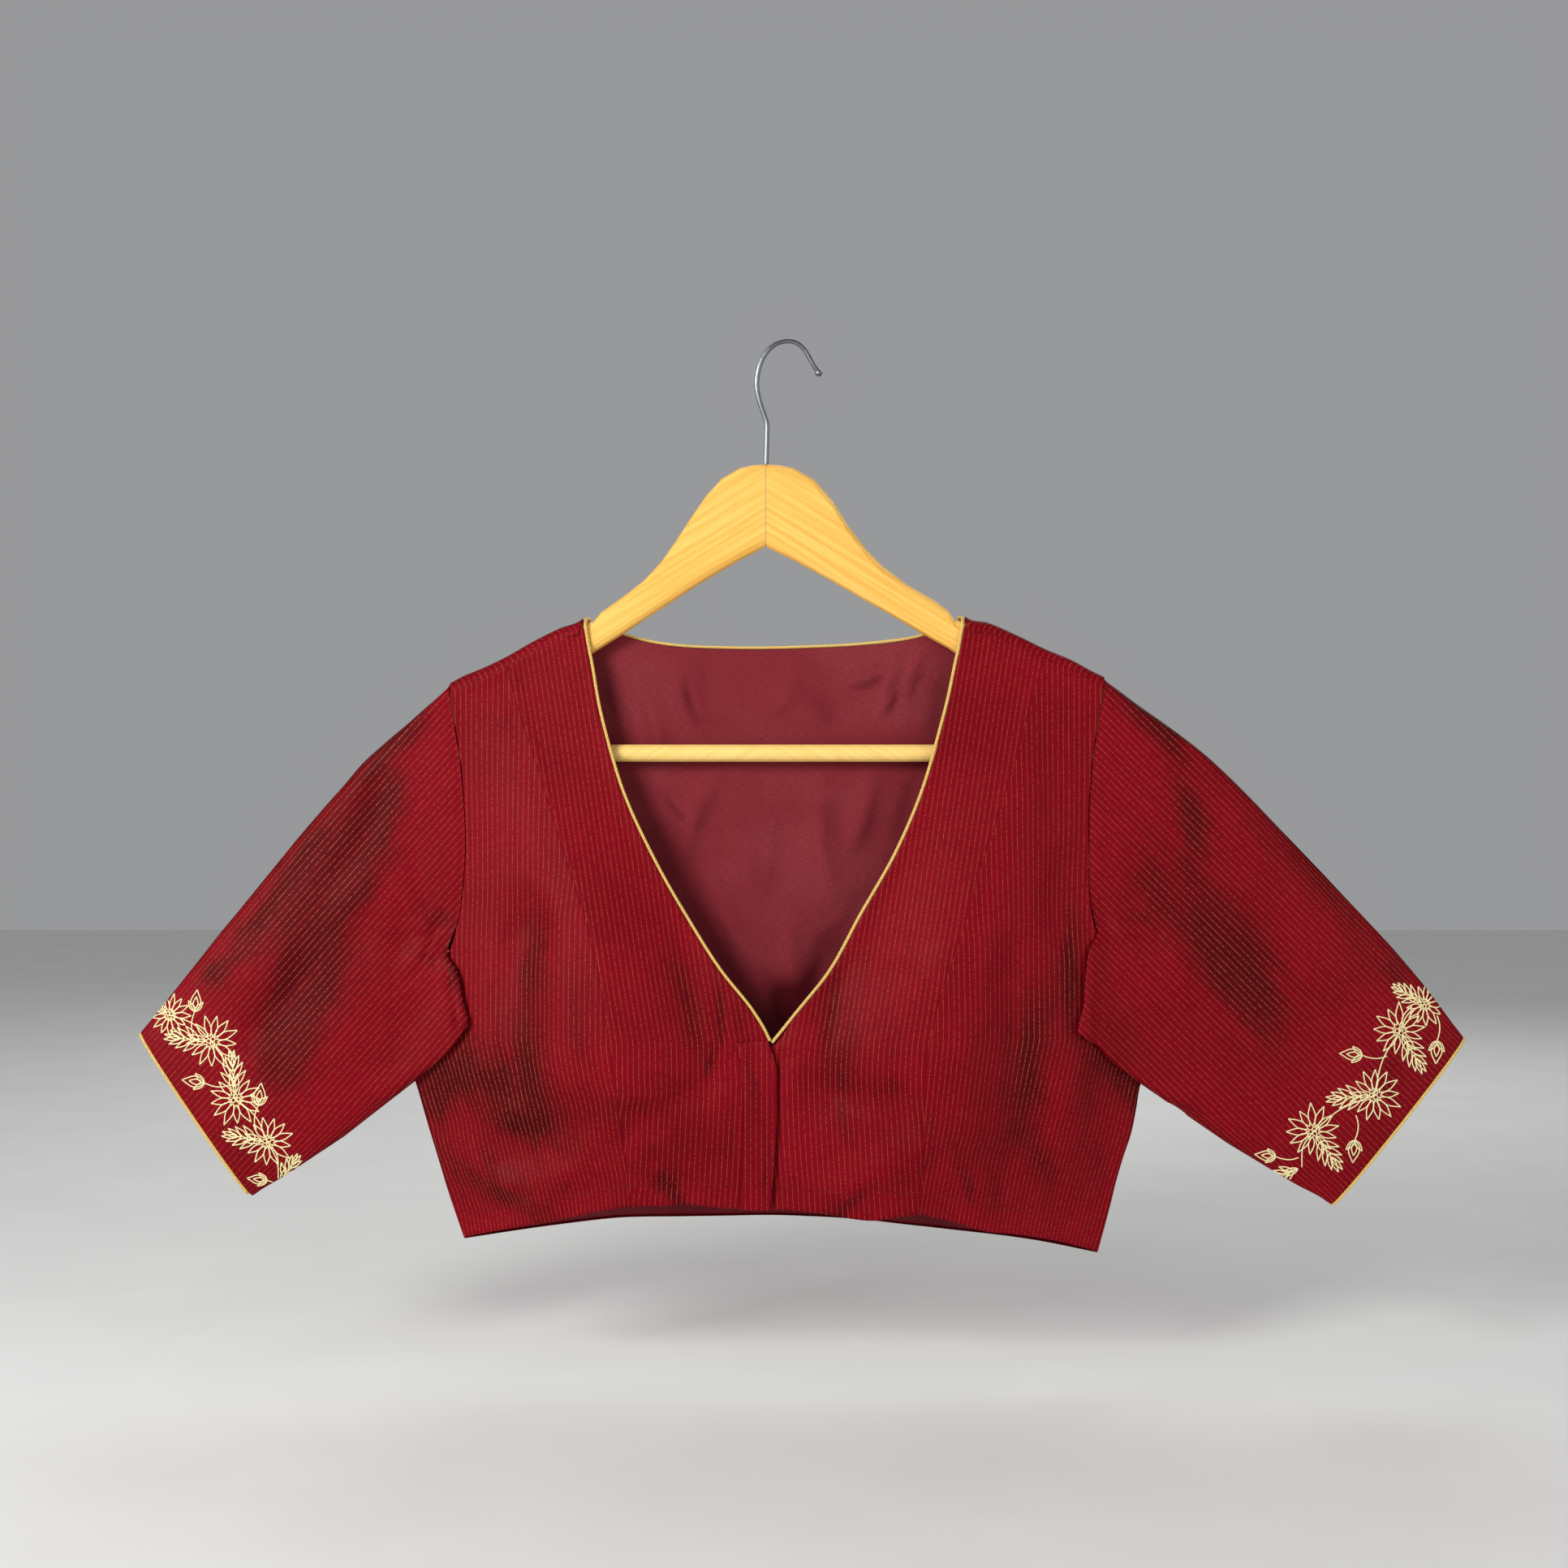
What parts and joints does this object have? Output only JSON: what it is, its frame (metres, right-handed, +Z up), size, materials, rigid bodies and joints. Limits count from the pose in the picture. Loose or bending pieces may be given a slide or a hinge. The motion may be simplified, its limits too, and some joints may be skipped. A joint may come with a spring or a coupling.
{
  "type": "choli blouse on a wooden hanger",
  "caption": "Short-sleeved choli blouse with a deep V neck, princess seams and corded edges, hanging flat on a wooden hanger.",
  "frame": {"origin": "underside of the hanger hook's crook, where the hanger is held", "axes": "+Z up, +X towards the right seen from the front, the front faces -Y"},
  "size_m": [0.7686, 0.055, 0.5297],
  "materials": {
    "silk": "maroon silk with fine gold pinstripes",
    "lining": "plain maroon cotton",
    "gold_cord": "twisted gold cord",
    "wood": "pale varnished wood",
    "steel": "plain steel wire"
  },
  "bodies": {
    "root": {"front_centre_left": "silk", "front_centre_right": "silk", "front_side_left": "silk", "front_side_right": "silk", "hook_band": "silk", "back": "silk", "back_lining": "lining", "sleeve_left": "silk", "sleeve_right": "silk", "neck_piping_left": "gold_cord", "neck_piping_right": "gold_cord", "neck_piping_back": "gold_cord", "cuff_piping_left": "gold_cord", "cuff_piping_right": "gold_cord", "hanger_arm_left": "wood", "hanger_arm_right": "wood", "hanger_bar": "wood", "hanger_hook": "steel"}
  },
  "joints": []
}
